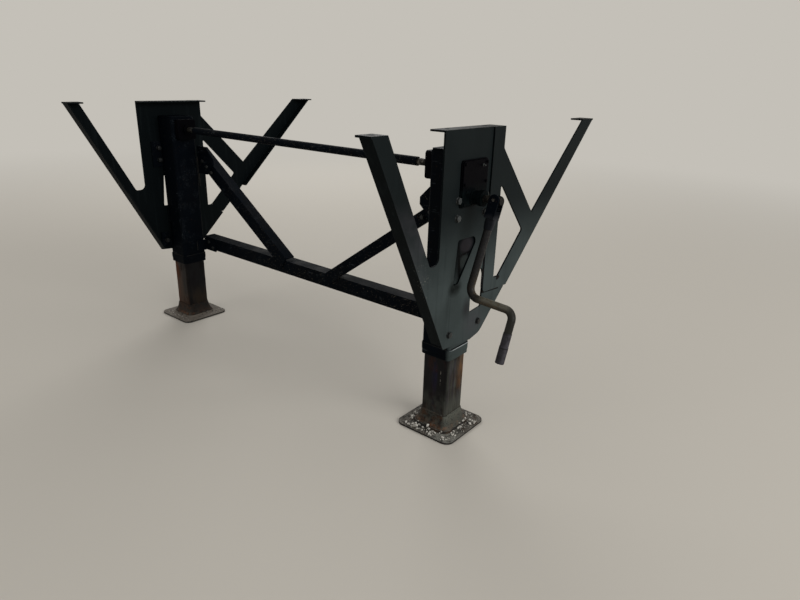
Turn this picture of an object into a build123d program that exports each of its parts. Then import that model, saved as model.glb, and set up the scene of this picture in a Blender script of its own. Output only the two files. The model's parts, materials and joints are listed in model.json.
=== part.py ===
from build123d import *
from math import cos, radians, sin, tan
import os

# Landing gear of a semi trailer: two telescoping legs in pressed brackets, tied by a K brace.
# Millimetres. X to the trailer's rear, Y to the far side, Z up. The origin is midway between
# the legs on the plane where the brackets bolt up under the trailer's crossmembers.
# Near-side pieces are modelled at negative Y, and the far side is their mirror image.

# Legs
track = 1700.0
outer_tube = 127.0
outer_wall = 5.6
tube_play = 0.75
inner_wall = 6.35
inner_length = 748.0
tube_corner = 15.0
tube_top = -76.0
tube_below_foot = 52.0
cap_thickness = 6.35
cap_overhang = 3.0
collar_height = 42.0
collar_proud = 3.5
collar_lip = 18.0
collar_lip_proud = 2.0

# Cushion foot
ground = -1125.0
shoe_side = 254.0
shoe_thickness = 8.0
shoe_corner = 34.0
step_margin = 5.0
step_height = 9.0
step_corner = 40.0
step_slope = 20.0
socket_play = 0.3

# Flared socket of the foot: height over the shoe, flare beyond the tube's side, corner radius
hub_profile = ((0, 24, 36), (12, 15, 29), (27, 7.5, 21), (50, 3, 17.5))

# Pressed brackets: places along X, depths below the mounting plane, heights above the foot's front
plate = 6.35
front_arm_top = -505.0
front_arm_width = 68.0
foot_front = -115.0
foot_depth = 752.0
foot_middle = 60.0
foot_drop = 16.0
foot_corner = 60.0
heel_height = 4.0
panel_front = -166.0
panel_rear = 186.0
slot_height = 325.0
slot_round = 26.0
front_flange = 48.0
rear_flange = 42.0
rear_flange_depth = 470.0
top_flange = 60.0
strap_front = 115.0
strap_height = 158.0
strap_corner = 18.0
lap_height = 148.0
lap_margin = 6.0
rear_arm_top = 935.0
rear_arm_width = 101.0
rear_edge_x = 225.0
rear_edge_height = 91.0
fork_x = 445.0
fork_depth = 341.0
fork_corner = 4.0
branch_top_depth = 75.0
branch_corner = 14.0
diamond_x = 379.0
diamond_depth = 399.0
diamond_top_depth = 196.0
diamond_foot_x = 216.0
diamond_foot_height = 196.0
diamond_corner = 10.0

# Holes in the panel: place along X, height above the foot's front, corner radius
window = ((-60, 388, 10), (69, 386, 20), (-46, 229, 8), (-76, 229, 9))
rear_opening = ((104, 264, 8), (121, 220, 12), (118, 102, 8), (44, 96, 8), (39, 148, 14))

# Bolts up into the crossmembers
bolt_hole = 9.0
bolt_outboard = 35.0
leg_bolt_x = 110.0
front_bolt_x = -470.0
rear_bolt_inset = 50.0

# Ears of the leg, bolted behind the panel
ear_reach = 50.0
ear_thickness = 6.35
lower_ear_heights = (14.0, 92.0)
upper_ear_depths = (195.0, 320.0)

# K brace of three angles: the diagonals are one unequal angle, turned the other way round on the near side
angle_leg = 63.5
angle_wall = 6.35
diagonal_wide = 63.5
diagonal_narrow = 50.8
beam_proud = 12.5
beam_height = 60.0
beam_past_leg = 21.5
diagonal_rise = 35.0
diagonal_base_y = 260.0
diagonal_above_beam = 28.0
diagonal_foot = 28.0
diagonal_gap = 8.5
clip_thickness = 6.35
clip_reach = 84.0
clip_lap = 46.0
clip_below_beam = 6.0
gusset_reach = 130.0
gusset_below = 50.0
gusset_margin = 10.0
gusset_cut = 55.0

# Gearbox, bevel housings and shafts
case_front = -72.0
case_rear = 83.0
case_top = -98.0
case_depth = 6.0
case_corner = 12.0
cover_inset = 3.0
cover_depth = 5.0
cover_round = 2.0
boss_below = 32.0
flange_radius = 28.0
flange_length = 5.0
neck_radius = 23.0
neck_length = 21.0
lip_radius = 27.0
lip_length = 16.0
crank_z = -222.0
crank_radius = 12.7
running = 0.05
bore_depth = 30.0
end_play = 1.0
cross_z = -130.0
cross_radius = 16.0
stub_radius = 12.5
stub_reach = 92.0
sleeve_grip = 40.0
housing_side = 96.0
housing_depth = 30.0
housing_corner = 12.0
housing_boss_radius = 24.0
housing_boss_length = 14.0

# Folding crank
pin_reach = 46.15
pin_radius = 6.0
pin_proud = 3.0
shaft_tip = 20.0
ear_plate = 6.0
ear_gap = 1.0
ear_width = 36.0
ear_tail = 62.0
bridge_start = 34.0
socket_radius = 18.0
socket_length = 36.0
socket_taper = 22.0
socket_wall = 2.0
rod_radius = 13.35
rod_length = 329.0
arm_length = 178.0
handle_length = 173.0
elbow_radius = 38.0
wrist_radius = 30.0
rod_lean = 5.2
elbow_past_square = 1.9
crank_tilt = 15.0
grip_radius = 15.2
grip_length = 60.0
sleeve_radius = 14.4
sleeve_length = 44.0
grip_end = 3.0
grip_chamfer = 2.0

# Worked out
leg_y = track / 2
outer_half = outer_tube / 2
inner_tube = outer_tube - 2 * (outer_wall + tube_play)
inner_low = ground + shoe_thickness + step_height
inner_top = inner_low + inner_length
hub_height = hub_profile[-1][0]
hub_base = inner_tube + 2 * hub_profile[0][1]
step_side = hub_base + 2 * step_margin
foot_bottom = foot_depth + foot_drop
tube_bottom = -foot_bottom - tube_below_foot
panel_back = leg_y + outer_half
panel_face = panel_back + plate
wing_face = panel_face + plate
leg_inner_face = leg_y - outer_half
rear_edge_depth = foot_depth - rear_edge_height
rear_bolt_x = rear_arm_top - rear_bolt_inset
bolt_line = leg_y + bolt_outboard
beam_face = outer_half + beam_proud
beam_top = beam_height - foot_depth
beam_half = leg_inner_face + beam_past_leg
diagonal_end = leg_inner_face - diagonal_gap
diagonal_base_z = beam_top + diagonal_above_beam
case_bottom = crank_z - boss_below
case_face = panel_face + case_depth
cover_face = case_face + cover_depth
boss_face = cover_face + flange_length + neck_length + lip_length
pin_y = boss_face + pin_reach
housing_face = leg_inner_face - housing_depth
housing_boss_face = housing_face - housing_boss_length


def upright(distance):
    """Plane facing outboard on the near side, with X and Z as its own axes."""
    return Plane.XZ.offset(distance)


def outboard(points, distance, thickness):
    """Plate from an outline in X and Z, from a distance off the centre line outwards."""
    face = make_face(Polyline(*points, close=True))
    return extrude(upright(distance) * face, thickness)


def rounded(corners):
    """Closed outline from rows of X, Z and the radius that rounds the corner."""
    face = make_face(Polyline(*[(x, z) for x, z, radius in corners], close=True))
    for x, z, radius in corners:
        if radius:
            corner = face.vertices().sort_by_distance((x, z, 0))[0]
            face = fillet(corner, radius)
    return face


def box(x, y, z):
    """Box from its lower and upper limits along each axis."""
    return Pos((x[0] + x[1]) / 2, (y[0] + y[1]) / 2, (z[0] + z[1]) / 2) * Box(
        x[1] - x[0], y[1] - y[0], z[1] - z[0])


def square_bar(side, corner, low, high):
    """Upright square bar with rounded corners, on the near leg's axis."""
    face = Pos(0, -leg_y, low) * RectangleRounded(side, side, corner)
    return extrude(face, high - low)


def pole(radius, start, end, x, z):
    """Round bar along Y between two distances off the centre line, on the near side."""
    face = upright(start) * Pos(x, z) * Circle(radius)
    return extrude(face, end - start)


def front_edge(depth):
    """Place along X of the front arm's outer edge at a depth."""
    return front_arm_top + (foot_front - front_arm_top) * depth / foot_depth


def rear_edge(depth):
    """Place along X of the rear arm's outer edge at a depth."""
    return rear_arm_top - (rear_arm_top - rear_edge_x) * depth / rear_edge_depth


def diagonal_z(y):
    """Height of the diagonal's lower edge at a distance off the centre line."""
    return diagonal_base_z + (y - diagonal_base_y) * tan(radians(diagonal_rise))


def above_foot(corners):
    """Corners given by their height above the foot's front, as corners in X and Z."""
    return [(x, height - foot_depth, radius) for x, height, radius in corners]


def top_tab(x, face, hole_x):
    """Flange folded inboard at the top of a plate, with its bolt holes."""
    tab = box(x, (-face, top_flange - face), (-plate, 0))
    for place in hole_x:
        tab -= Pos(place, -bolt_line, -plate) * Cylinder(bolt_hole, 4 * plate)
    return tab


def bracket_panel():
    """Front arm, centre panel and foot of a bracket, pressed from one plate."""
    slot_depth = foot_depth - slot_height
    slot_front = front_edge(slot_depth) + front_arm_width
    slot_corner = min(slot_round, (panel_front - slot_front) / 2)
    heel = foot_depth + heel_height
    lap = foot_depth - lap_height + lap_margin
    waist = foot_depth - diamond_foot_height
    outline = [
        (front_arm_top, 0, 0),
        (foot_front, -foot_depth, 10),
        (foot_middle, -foot_bottom, 0),
        (rear_edge(heel), -heel, foot_corner),
        (rear_edge(lap), -lap, 0),
        (diamond_foot_x + lap_margin, -waist, 0),
        (panel_rear, -waist, 0),
        (panel_rear, 0, 0),
        (panel_front, 0, 0),
        (panel_front, -slot_depth, slot_corner),
        (slot_front, -slot_depth, slot_corner * 0.6),
        (front_arm_top + front_arm_width, 0, 0)]
    face = rounded(outline) - rounded(above_foot(window)) - rounded(above_foot(rear_opening))
    panel = extrude(upright(panel_back) * face, plate)
    fold_end = foot_depth - 2 * plate
    fold = [(front_edge(0), 0), (front_edge(fold_end), -fold_end),
            (front_edge(fold_end) + plate, -fold_end), (front_edge(0) + plate, 0)]
    panel += outboard(fold, panel_face - front_flange, front_flange - plate / 2)
    panel += top_tab((front_arm_top, front_arm_top + front_arm_width), panel_face, [front_bolt_x])
    panel += top_tab((panel_front, panel_rear), panel_face, [-leg_bolt_x, leg_bolt_x])
    return panel


def bracket_wing():
    """Upright strap, fork branch and rear arm, one plate lapped on the panel's outer face."""
    strap_foot = foot_depth - strap_height
    lap_foot = foot_depth - lap_height
    waist = foot_depth - diamond_foot_height
    arm_inner = rear_arm_top - rear_arm_width
    outline = [(strap_front, 0, 0), (strap_front, -strap_foot, strap_corner),
               (rear_edge(lap_foot), -lap_foot, 0), (rear_arm_top, 0, 0)]
    diamond = [(panel_rear, -diamond_top_depth, 8), (diamond_x, -diamond_depth, diamond_corner),
               (diamond_foot_x, -waist, diamond_corner), (panel_rear, -waist, diamond_corner)]
    fork = [(panel_rear, 0, 0), (panel_rear, -branch_top_depth, branch_corner),
            (fork_x, -fork_depth, fork_corner), (arm_inner, 0, 0)]
    face = rounded(outline) - rounded(diamond) - rounded(fork)
    wing = extrude(upright(panel_face) * face, plate)
    thick = plate * 1.4
    fold_end = rear_flange_depth
    fold = [(rear_edge(fold_end), -fold_end), (rear_arm_top, 0), (rear_arm_top - thick, 0),
            (rear_edge(fold_end) - thick, -fold_end)]
    wing += outboard(fold, wing_face - rear_flange, rear_flange - plate / 2)
    wing += top_tab((arm_inner + plate, rear_arm_top), wing_face, [rear_bolt_x])
    return wing


def outer_leg():
    """Fixed square tube of a leg."""
    tube = square_bar(outer_tube, tube_corner, tube_bottom, tube_top)
    bore = outer_tube - 2 * outer_wall
    return tube - square_bar(bore, tube_corner - outer_wall, tube_bottom - 1, tube_top + 1)


def leg_cap():
    """Cap plate that closes the fixed tube."""
    side = outer_tube - 2 * cap_overhang
    return square_bar(side, tube_corner - cap_overhang, tube_top, tube_top + cap_thickness)


def leg_collar():
    """Ring that stiffens the mouth of the fixed tube."""
    top = tube_bottom + collar_height
    step = tube_bottom + collar_lip
    ring = square_bar(outer_tube + 2 * collar_proud, tube_corner + collar_proud, step, top)
    ring += square_bar(outer_tube + 2 * collar_lip_proud, tube_corner + collar_lip_proud, tube_bottom, step)
    return ring - square_bar(outer_tube, tube_corner, tube_bottom - 1, 0)


def leg_ears():
    """Four ears on the fixed tube, against the back of the panel."""
    lower = [height - foot_depth for height in lower_ear_heights]
    upper = [-depth for depth in reversed(upper_ear_depths)]
    solid_tube = square_bar(outer_tube, tube_corner, tube_bottom, 0)
    ears = []
    for z in (lower, upper):
        for x in ((outer_half - tube_corner, outer_half + ear_reach),
                  (-outer_half - ear_reach, tube_corner - outer_half)):
            ears.append(box(x, (-panel_back, ear_thickness - panel_back), z) - solid_tube)
    return Compound(ears)


def inner_leg():
    """Sliding tube of a leg."""
    bar = square_bar(inner_tube, tube_corner - 1, inner_low, inner_top)
    bore = inner_tube - 2 * inner_wall
    return bar - square_bar(bore, tube_corner - inner_wall, inner_low - 1, inner_top + 1)


def foot_hub():
    """Square socket that takes the sliding tube's end and flares out to the shoe."""
    rings = []
    for height, flare, corner in hub_profile:
        side = inner_tube + 2 * flare
        rings.append(Pos(0, -leg_y, inner_low + height) * RectangleRounded(side, side, corner))
    bore = square_bar(inner_tube + 2 * socket_play, tube_corner, inner_low - 1, inner_low + hub_height + 1)
    return loft(rings, ruled=True) - bore


def foot_shoe():
    """Square sand shoe with its raised step."""
    face = Pos(0, -leg_y, ground) * RectangleRounded(shoe_side, shoe_side, shoe_corner)
    step = Pos(0, -leg_y, ground + shoe_thickness) * RectangleRounded(step_side, step_side, step_corner)
    shoe = extrude(face, shoe_thickness) + extrude(step, step_height, taper=step_slope)
    return chamfer(shoe.faces().sort_by(Axis.Z)[0].edges(), shoe_thickness / 4)


def angle_bar(length, front_leg, top_leg):
    """Angle along X: its front leg hangs from the edge, its top leg runs back along Y."""
    front = box((0, length), (0, angle_wall), (-front_leg, 0))
    return front + box((0, length), (0, top_leg), (-angle_wall, 0))


def brace_beam():
    """Level member of the K brace."""
    bar = angle_bar(2 * beam_half, angle_leg, angle_leg)
    return Plane(origin=(beam_face, beam_half, beam_top), x_dir=(0, -1, 0), z_dir=(0, 0, 1)) * bar


def brace_diagonal(front_leg, top_leg):
    """Sloping member of the K brace, from the beam's face up to the near leg."""
    rise = radians(diagonal_rise)
    beam_foot = beam_top - angle_leg
    foot_y = diagonal_base_y - (diagonal_base_z - beam_foot) / tan(rise)
    start = Vector(beam_face - angle_wall, -foot_y, diagonal_z(foot_y) + front_leg / cos(rise))
    slope = Plane(origin=start, x_dir=(0, -cos(rise), sin(rise)), z_dir=(0, sin(rise), cos(rise)))
    placed = slope * angle_bar(1.2 * (diagonal_end - foot_y) / cos(rise), front_leg, top_leg)
    back = beam_face + 2 * angle_leg
    limits = box((0, back), (-diagonal_end, diagonal_foot - foot_y), (beam_foot, 0))
    over_beam = box((beam_face, back), (-diagonal_end, 0), (beam_foot - 1, beam_top + 2))
    return (placed & limits) - over_beam


def near_diagonal():
    """Near diagonal, its narrow leg to the front."""
    return brace_diagonal(diagonal_narrow, diagonal_wide)


def far_diagonal():
    """Far diagonal, its wide leg to the front."""
    return mirror(brace_diagonal(diagonal_wide, diagonal_narrow), about=Plane.XZ)


def lower_clip():
    """Angle clip that ties the beam's end to the leg's inner face."""
    z = (beam_top - angle_leg - clip_below_beam, beam_top - 2 * angle_wall)
    on_leg = box((outer_half - clip_lap, beam_face), (-leg_inner_face, clip_thickness - leg_inner_face), z)
    on_beam = box((beam_face - clip_thickness, beam_face), (-leg_inner_face, clip_reach - leg_inner_face), z)
    return on_leg + on_beam


def upper_clip():
    """Gusset that ties the diagonal's top end to the leg's inner face."""
    low = diagonal_z(diagonal_end) - gusset_below
    high = diagonal_z(diagonal_end) + diagonal_wide / cos(radians(diagonal_rise)) + gusset_margin
    weld = -leg_inner_face
    tip = gusset_reach - leg_inner_face
    points = [(weld, low), (tip - gusset_cut, low), (tip, low + gusset_cut),
              (tip, high - gusset_cut), (tip - gusset_cut, high), (weld, high)]
    back = beam_face - angle_wall - clip_thickness
    sheet = Plane(origin=(back, 0, 0), x_dir=(0, 1, 0), z_dir=(1, 0, 0))
    return extrude(sheet * make_face(Polyline(*points, close=True)), clip_thickness)


def bevel_housing():
    """Housing of the bevel gears on a leg's inner face, bored for the cross shaft."""
    face = RectangleRounded(housing_side, housing_side, housing_corner)
    case = extrude(upright(housing_face) * Pos(0, cross_z) * face, housing_depth)
    case += pole(housing_boss_radius, housing_boss_face, housing_face, 0, cross_z)
    return case - pole(stub_radius + running, housing_boss_face - 1,
                       housing_boss_face + bore_depth, 0, cross_z)


def cross_stub():
    """Short shaft out of a bevel housing, into the cross tube."""
    inner_end = housing_boss_face - stub_reach
    return pole(stub_radius, inner_end, housing_boss_face + bore_depth - end_play, 0, cross_z)


def cross_tube():
    """Tube that carries the drive from the near leg to the far leg."""
    half = housing_boss_face - stub_reach + sleeve_grip
    tube = pole(cross_radius, -half, half, 0, cross_z)
    return tube - pole(stub_radius + running, -half - 1, half + 1, 0, cross_z)


def case_block(inset, start, thickness):
    """Block of the gearbox's outline, set in from its edges."""
    width = case_rear - case_front
    height = case_top - case_bottom
    middle = Pos((case_front + case_rear) / 2, (case_bottom + case_top) / 2)
    face = RectangleRounded(width - 2 * inset, height - 2 * inset, case_corner - inset / 2)
    return extrude(upright(start) * middle * face, thickness)


def gear_case():
    """Rim of the two-speed gearbox, on the panel's outer face."""
    return case_block(0, panel_face, case_depth)


def gear_cover():
    """Cover of the gearbox, with the crank shaft's flanged boss and its bore."""
    cover = case_block(cover_inset, case_face, cover_depth)
    cover = fillet(cover.faces().sort_by(Axis.Y)[0].edges(), cover_round)
    start = cover_face
    boss = ((flange_radius, flange_length), (neck_radius, neck_length), (lip_radius, lip_length))
    for radius, length in boss:
        cover += pole(radius, start, start + length, 0, crank_z)
        start += length
    return cover - pole(crank_radius + running, boss_face - bore_depth, boss_face + 1, 0, crank_z)


def crank_frame():
    """Frame at the crank's pin: its X along the pin, its Z up the crank's rod."""
    tilt = radians(crank_tilt)
    lean = radians(rod_lean)
    along_pin = Vector(cos(tilt), 0, -sin(tilt))
    up = Vector(cos(lean) * sin(tilt), -sin(lean), cos(lean) * cos(tilt))
    return Plane(origin=(0, -pin_y, crank_z), x_dir=along_pin, z_dir=up)


def crank_shaft():
    """Input shaft out of the gearbox, with a cross hole for the crank's pin."""
    shaft = pole(crank_radius, boss_face - bore_depth + end_play, pin_y + shaft_tip, 0, crank_z)
    hole = crank_frame() * Rot(0, 90, 0) * Cylinder(pin_radius + running, 4 * crank_radius)
    return shaft - hole


def crank_pin():
    """Pin on which the crank folds."""
    length = 2 * (crank_radius + ear_gap + ear_plate + pin_proud)
    return crank_frame() * Rot(0, 90, 0) * Cylinder(pin_radius, length)


def crank_ears():
    """Fork at the crank's top end: two cheeks that straddle the shaft, and the rod's socket."""
    inner = crank_radius + ear_gap
    tail = Pos(0, -ear_tail / 2) * Rectangle(ear_width, ear_tail)
    cheek = extrude(Plane.YZ * (Circle(ear_width / 2) + tail), ear_plate)
    fork = Pos(inner, 0, 0) * cheek + Pos(-inner - ear_plate, 0, 0) * cheek
    fork += box((-inner, inner), (-ear_width / 2, ear_width / 2), (-ear_tail, -bridge_start))
    socket_end = ear_tail + socket_length
    straight = socket_length - socket_taper
    fork += Pos(0, 0, -ear_tail - straight / 2) * Cylinder(socket_radius, straight)
    taper = Cone(rod_radius + socket_wall, socket_radius, socket_taper)
    fork += Pos(0, 0, socket_taper / 2 - socket_end) * taper
    seat = socket_end - bridge_start - ear_plate
    fork -= Pos(0, 0, -socket_end + seat / 2) * Cylinder(rod_radius, seat)
    return crank_frame() * (fork - Rot(0, 90, 0) * Cylinder(pin_radius, 6 * inner))


def crank_route():
    """Centre line of the bent rod, in the crank's frame, and the handle's direction."""
    turn = radians(elbow_past_square)
    down = Vector(0, 0, -1)
    out = Vector(0, -cos(turn), sin(turn))
    along_handle = Vector(0, -sin(turn), -cos(turn))
    start = down * (bridge_start + ear_plate + end_play)
    elbow = down * rod_length
    wrist = elbow + out * arm_length
    return start, elbow, wrist, wrist + along_handle * handle_length, along_handle


def crank_rod():
    """Bent rod of the crank."""
    start, elbow, wrist, end, along_handle = crank_route()
    path = FilletPolyline(start, elbow, wrist, end, radius=[elbow_radius, wrist_radius])
    section = Plane(origin=start, z_dir=elbow - start) * Circle(rod_radius)
    return crank_frame() * sweep(section, path=path)


def crank_grip():
    """Stepped grip over the crank's handle."""
    start, elbow, wrist, end, along_handle = crank_route()
    low = Plane(origin=end + along_handle * grip_end, z_dir=along_handle * -1)
    grip = chamfer(extrude(low * Circle(grip_radius), grip_length).edges(), grip_chamfer)
    length = grip_length + sleeve_length
    grip += extrude(low * Circle(sleeve_radius), length)
    bore = extrude(low.offset(grip_end) * Circle(rod_radius), length)
    return crank_frame() * (grip - bore)


os.makedirs("parts", exist_ok=True)

both_sides = {
    "bracket_panel": bracket_panel,
    "bracket_wing": bracket_wing,
    "outer_tube": outer_leg,
    "tube_cap": leg_cap,
    "tube_collar": leg_collar,
    "tube_ears": leg_ears,
    "inner_tube": inner_leg,
    "foot_hub": foot_hub,
    "foot_shoe": foot_shoe,
    "brace_clip_lower": lower_clip,
    "brace_clip_upper": upper_clip,
    "bevel_housing": bevel_housing,
    "cross_stub": cross_stub,
}
single = {
    "brace_diagonal_near": near_diagonal,
    "brace_diagonal_far": far_diagonal,
    "brace_beam": brace_beam,
    "cross_tube": cross_tube,
    "gear_case": gear_case,
    "gear_cover": gear_cover,
    "crank_shaft": crank_shaft,
    "crank_pin": crank_pin,
    "crank_ears": crank_ears,
    "crank_rod": crank_rod,
    "crank_grip": crank_grip,
}

for name, make in both_sides.items():
    near = make()
    export_step(near, f"parts/{name}_near.step")
    export_step(mirror(near, about=Plane.XZ), f"parts/{name}_far.step")
for name, make in single.items():
    export_step(make(), f"parts/{name}.step")
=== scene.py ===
import json
from math import cos, pi, radians, sin

import bmesh
import bpy
from mathutils import Matrix, Vector


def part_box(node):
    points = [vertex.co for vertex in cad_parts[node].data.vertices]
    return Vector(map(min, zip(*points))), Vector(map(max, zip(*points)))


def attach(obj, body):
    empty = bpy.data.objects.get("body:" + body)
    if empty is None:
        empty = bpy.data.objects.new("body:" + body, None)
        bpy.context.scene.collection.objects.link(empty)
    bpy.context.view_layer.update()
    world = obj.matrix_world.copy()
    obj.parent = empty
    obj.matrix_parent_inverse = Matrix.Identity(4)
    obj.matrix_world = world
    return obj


# Landing gear: two telescoping legs in pressed brackets, a K brace between them and a hand crank.
# Metres, and millimetres where a name or note says so. X runs from the front of the gear to its rear,
# Y from the crank's side to the far side, Z up from the plane where the brackets bolt on.

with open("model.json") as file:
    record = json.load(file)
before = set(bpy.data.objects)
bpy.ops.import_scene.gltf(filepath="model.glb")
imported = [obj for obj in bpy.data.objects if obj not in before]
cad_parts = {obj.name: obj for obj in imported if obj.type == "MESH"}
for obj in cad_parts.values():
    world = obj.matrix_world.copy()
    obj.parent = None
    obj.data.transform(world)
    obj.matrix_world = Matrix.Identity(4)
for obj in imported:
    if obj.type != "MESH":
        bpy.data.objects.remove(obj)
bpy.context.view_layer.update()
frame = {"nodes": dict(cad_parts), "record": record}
nodes = frame["nodes"]
sides = {"near": -1, "far": 1}
print("frame loaded:", len(nodes), "nodes")


# Camera, floor and light

view = {
    "place": (-1.7149, -2.0034, 0.1540),
    "turn": (69.431, -1.629, -50.641),   # degrees about X, Y and Z
    "lens": 27.0,
    "sensor": 36.0,
}


def addCamera():
    data = bpy.data.cameras.new("viewCamera")
    data.lens = view["lens"]
    data.sensor_width = view["sensor"]
    camera = bpy.data.objects.new("viewCamera", data)
    camera.location = view["place"]
    camera.rotation_euler = [radians(angle) for angle in view["turn"]]
    bpy.context.scene.collection.objects.link(camera)
    bpy.context.scene.camera = camera


addCamera()
bpy.context.scene.view_settings.view_transform = "Standard"


def hexColour(code):
    # sRGB hex to the linear colour that Blender's sockets take
    parts = [int(code[at:at + 2], 16) / 255 for at in (1, 3, 5)]
    return [part / 12.92 if part <= 0.04045 else ((part + 0.055) / 1.055) ** 2.4 for part in parts] + [1.0]


def addNode(tree, kind, inputs=None, **settings):
    # one node: its settings by name, its inputs by name or number, each a value or another node's output
    node = tree.nodes.new(kind)
    for name, value in settings.items():
        setattr(node, name, value)
    for name, value in (inputs or {}).items():
        if isinstance(value, bpy.types.NodeSocket):
            tree.links.new(value, node.inputs[name])
        else:
            node.inputs[name].default_value = value
    return node


studio = {
    "floorSize": 160.0,
    "floorColour": "#c6c0b5",
    "floorRoughness": 0.9,
    "sweepStart": 2.2,           # the floor fades into the backdrop between these distances
    "sweepEnd": 9.0,
    "backdropColour": "#c4c0b8",
    "skyLight": 0.42,            # soft light from all round
    "lamps": {
        "keyLamp": {"place": (-0.6, -7.6, 2.6), "aim": (0.0, -0.6, -0.5), "size": (6.0, 4.0), "power": 320},
        "sideLamp": {"place": (-6.4, 2.2, 3.0), "aim": (0.0, 0.0, -0.6), "size": (4.0, 3.2), "power": 36},
        "rimLamp": {"place": (5.2, 5.0, 3.6), "aim": (0.0, 0.0, -0.5), "size": (4.4, 3.6), "power": 190},
    },
}


def seenBehind(tree):
    # 1 for the eye and for what shines or is clear, which all see the backdrop, and 0 for the light it gives
    ray = addNode(tree, "ShaderNodeLightPath").outputs
    shiny = addNode(tree, "ShaderNodeMath", {
        0: ray["Is Glossy Ray"], 1: ray["Is Transmission Ray"]}, operation="MAXIMUM")
    seen = addNode(tree, "ShaderNodeMath", {
        0: ray["Is Camera Ray"], 1: shiny.outputs[0]}, operation="MAXIMUM")
    return seen.outputs[0]


def addFloor():
    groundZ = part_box("foot_shoe_near")[0].z
    bpy.ops.mesh.primitive_plane_add(size=studio["floorSize"], location=(0, 0, groundZ))
    floor = bpy.context.object
    floor.name = "studioFloor"
    material = bpy.data.materials.new("matteSweep")
    material.use_nodes = True
    tree = material.node_tree
    shader = tree.nodes["Principled BSDF"]
    shader.inputs["Base Color"].default_value = hexColour(studio["floorColour"])
    shader.inputs["Roughness"].default_value = studio["floorRoughness"]
    place = addNode(tree, "ShaderNodeTexCoord").outputs["Object"]
    away = addNode(tree, "ShaderNodeVectorMath", {0: place}, operation="LENGTH").outputs["Value"]
    fade = addNode(tree, "ShaderNodeMapRange", {
        "Value": away, "From Min": studio["sweepStart"], "From Max": studio["sweepEnd"]},
        interpolation_type="SMOOTHSTEP")
    part = addNode(tree, "ShaderNodeMath", {
        0: fade.outputs["Result"], 1: seenBehind(tree)}, operation="MULTIPLY")
    glow = addNode(tree, "ShaderNodeEmission", {
        "Color": hexColour(studio["backdropColour"]), "Strength": 1.0})
    sweep = addNode(tree, "ShaderNodeMixShader", {
        0: part.outputs[0], 1: shader.outputs[0], 2: glow.outputs[0]})
    tree.links.new(sweep.outputs[0], tree.nodes["Material Output"].inputs["Surface"])
    floor.data.materials.append(material)
    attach(floor, "leg_near")     # the ground stays under the shoes when the legs run out or in


def addLamps():
    for name, lamp in studio["lamps"].items():
        data = bpy.data.lights.new(name, "AREA")
        data.shape = "RECTANGLE"
        data.size, data.size_y = lamp["size"]
        data.energy = lamp["power"]
        holder = bpy.data.objects.new(name, data)
        holder.location = lamp["place"]
        aim = Vector(lamp["aim"]) - Vector(lamp["place"])
        holder.rotation_euler = aim.to_track_quat("-Z", "Y").to_euler()
        bpy.context.scene.collection.objects.link(holder)


def addSky():
    world = bpy.data.worlds.new("studioSky")
    world.use_nodes = True
    bpy.context.scene.world = world
    tree = world.node_tree
    tree.nodes.clear()
    light = addNode(tree, "ShaderNodeBackground", {"Color": (1, 1, 1, 1), "Strength": studio["skyLight"]})
    seen = addNode(tree, "ShaderNodeBackground", {
        "Color": hexColour(studio["backdropColour"]), "Strength": 1.0})
    choice = addNode(tree, "ShaderNodeMixShader", {
        0: seenBehind(tree), 1: light.outputs[0], 2: seen.outputs[0]})
    addNode(tree, "ShaderNodeOutputWorld", {"Surface": choice.outputs[0]})


addFloor()
addLamps()
addSky()
print("studio set: camera, floor, sky and", len(studio["lamps"]), "lamps")


# Finishes

def newFinish(name, look):
    # a material, its coordinates, and a normal rounded over its edges where the look gives their width
    material = bpy.data.materials.new(name)
    material.use_nodes = True
    tree = material.node_tree
    shader = tree.nodes["Principled BSDF"]
    shader.inputs["Roughness"].default_value = look.get("roughness", 0.5)
    shader.inputs["Metallic"].default_value = look.get("metallic", 0.0)
    shader.inputs["Specular IOR Level"].default_value = look.get("specular", 0.5)
    place = addNode(tree, "ShaderNodeTexCoord").outputs["Object"]
    rounded = None
    if "edgeMm" in look:
        rounded = addNode(tree, "ShaderNodeBevel", {"Radius": look["edgeMm"] / 1000}, samples=6).outputs[0]
    return material, tree, place, rounded


def times(tree, *masks):
    # masks multiplied; one given as (mask, low, high) first runs from low to high in place of 0 to 1
    product = None
    for mask in masks:
        if isinstance(mask, tuple):
            drawn = addNode(tree, "ShaderNodeMapRange", {
                "Value": mask[0], "To Min": mask[1], "To Max": mask[2]})
            mask = drawn.outputs["Result"]
        if product:
            mask = addNode(tree, "ShaderNodeMath", {0: product, 1: mask}, operation="MULTIPLY").outputs[0]
        product = mask
    return product


def grain(tree, place, sizeMm, low=0.4, high=0.6, detail=4.0, stretch=(1, 1, 1), shift=0.0):
    # cloudy mask from 0 to 1 whose patches are about sizeMm across, drawn out along an axis by stretch
    scale = [1000 / sizeMm / length for length in stretch]
    mapped = addNode(tree, "ShaderNodeMapping", {
        "Vector": place, "Location": (shift, shift, shift), "Scale": scale})
    noise = addNode(tree, "ShaderNodeTexNoise", {
        "Vector": mapped.outputs[0], "Scale": 1.0, "Detail": detail})
    mask = addNode(tree, "ShaderNodeMapRange", {
        "Value": noise.outputs["Fac"], "From Min": low, "From Max": high})
    return mask.outputs["Result"]


def wornEdges(tree, rounded):
    # 1 along the edges: there the rounded normal turns away from the flat one, by 16 to 41 degrees
    flat = addNode(tree, "ShaderNodeNewGeometry").outputs["True Normal"]
    agreement = addNode(tree, "ShaderNodeVectorMath", {0: rounded, 1: flat}, operation="DOT_PRODUCT")
    mask = addNode(tree, "ShaderNodeMapRange", {
        "Value": agreement.outputs["Value"], "From Min": 0.96, "From Max": 0.75})
    return mask.outputs["Result"]


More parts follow.
